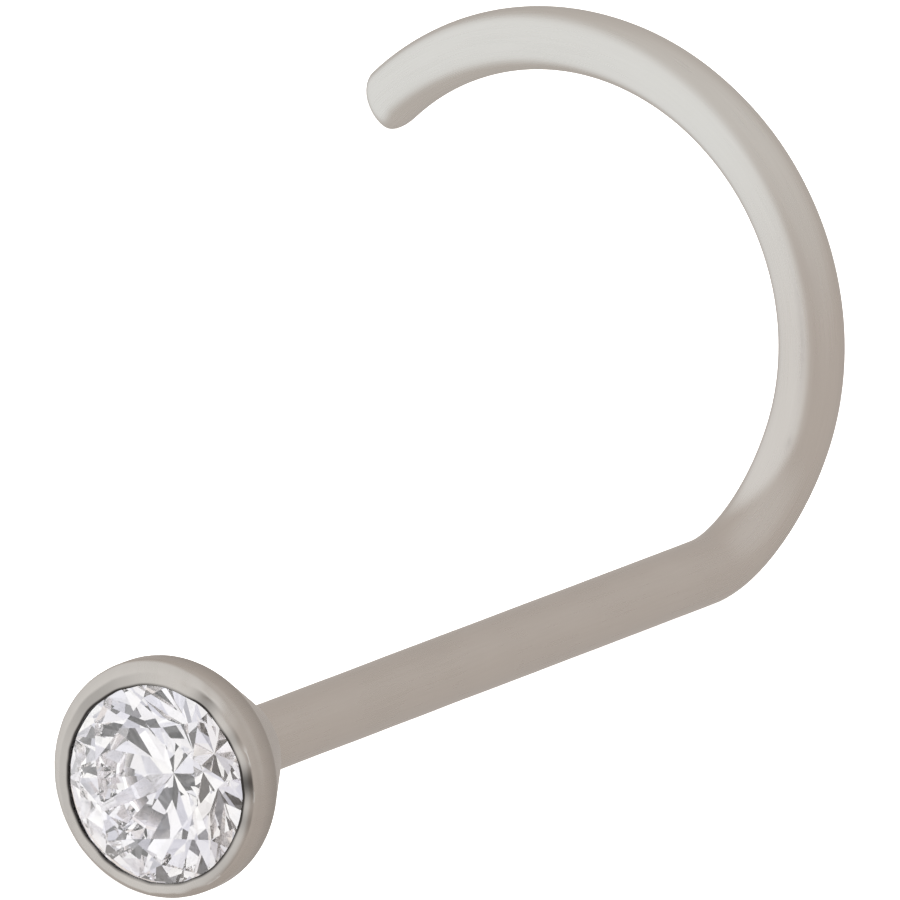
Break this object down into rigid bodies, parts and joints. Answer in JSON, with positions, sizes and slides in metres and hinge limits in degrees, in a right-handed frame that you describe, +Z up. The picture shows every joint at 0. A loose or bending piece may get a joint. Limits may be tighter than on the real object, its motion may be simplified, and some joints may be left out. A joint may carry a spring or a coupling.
{
  "type": "nose stud",
  "caption": "Screw-type nose stud: a round brilliant stone in a rubbed-over closed cup, on a wire that bends square and ends in an open curl.",
  "frame": {"origin": "centre of the footprint, on the surface that the stud lies on", "axes": "+Z up; +X along the level run of the straight wire, from the stone towards the curl"},
  "size_m": [0.0121, 0.0072, 0.0031],
  "materials": {
    "satin_steel": "satin, with a rubbed lip round the stone",
    "clear_crystal": "faceted and polished, colourless"
  },
  "bodies": {
    "root": {"cup_and_wire": "satin_steel", "stone": "clear_crystal"}
  },
  "joints": []
}
